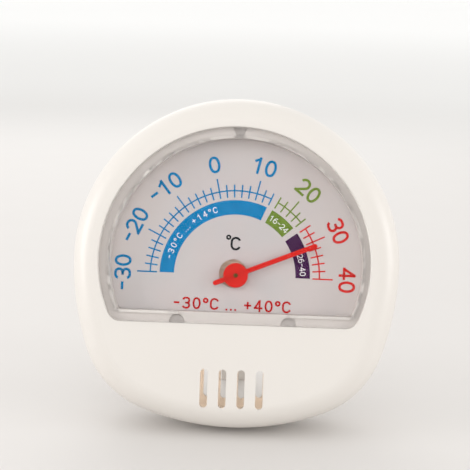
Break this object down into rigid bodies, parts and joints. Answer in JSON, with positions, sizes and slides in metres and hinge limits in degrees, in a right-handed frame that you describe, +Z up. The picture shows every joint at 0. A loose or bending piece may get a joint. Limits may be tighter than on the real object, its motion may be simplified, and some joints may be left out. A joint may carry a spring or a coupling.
{
  "type": "cold room dial thermometer",
  "caption": "Small round-topped bimetal dial thermometer with coloured temperature zones, a red pointer, vent slots and a fold-out strut that props it on a shelf.",
  "frame": {"origin": "on the floor, in the middle of the footprint of the thermometer standing on its open strut", "axes": "+Z up, the dial faces -Y and leans back by 12 degrees, +X to the right as the dial is read"},
  "size_m": [0.075, 0.0433, 0.0756],
  "materials": {
    "housing": "gloss moulded warm white ABS",
    "stand_plastic": "moulded warm white ABS",
    "lens": "clear moulded acrylic",
    "dial": "matt printed card",
    "pointer_red": "satin red paint",
    "brass": "turned",
    "steel": "zinc plated",
    "plated_steel": "stamped, plated",
    "bimetal": "rolled strip"
  },
  "bodies": {
    "case": {"front_housing": "housing", "rear_cover": "housing", "lens": "lens", "dial_card": "dial", "case_screws": "steel", "movement_plate": "plated_steel", "movement_pillars": "brass", "movement_bridge": "plated_steel", "movement_screws": "steel", "bridge_screws": "steel", "front_bush": "brass", "rear_bush": "brass", "coil_stud": "brass", "bimetal_coil": "bimetal", "hinge_pin": "steel"},
    "pointer": {"pointer": "pointer_red", "spindle": "brass", "coil_collar": "brass", "thrust_washer": "steel", "spindle_clip": "steel"},
    "stand": {"stand": "stand_plastic"}
  },
  "joints": [
    {"name": "pointer_swing", "type": "hinge", "parent": "case", "child": "pointer", "pos_m": [0, -0.01567, 0.03694], "axis": [0, -0.9781, 0.2079], "range_deg": [-22.11, 157.89], "stiffness_Nm_per_rad": 0.0002, "deforming": ["bimetal_coil"]},
    {"name": "stand_fold", "type": "hinge", "parent": "case", "child": "stand", "pos_m": [0, 0.00406, 0.04077], "axis": [-1, 0, 0], "range_deg": [0, 34]}
  ]
}
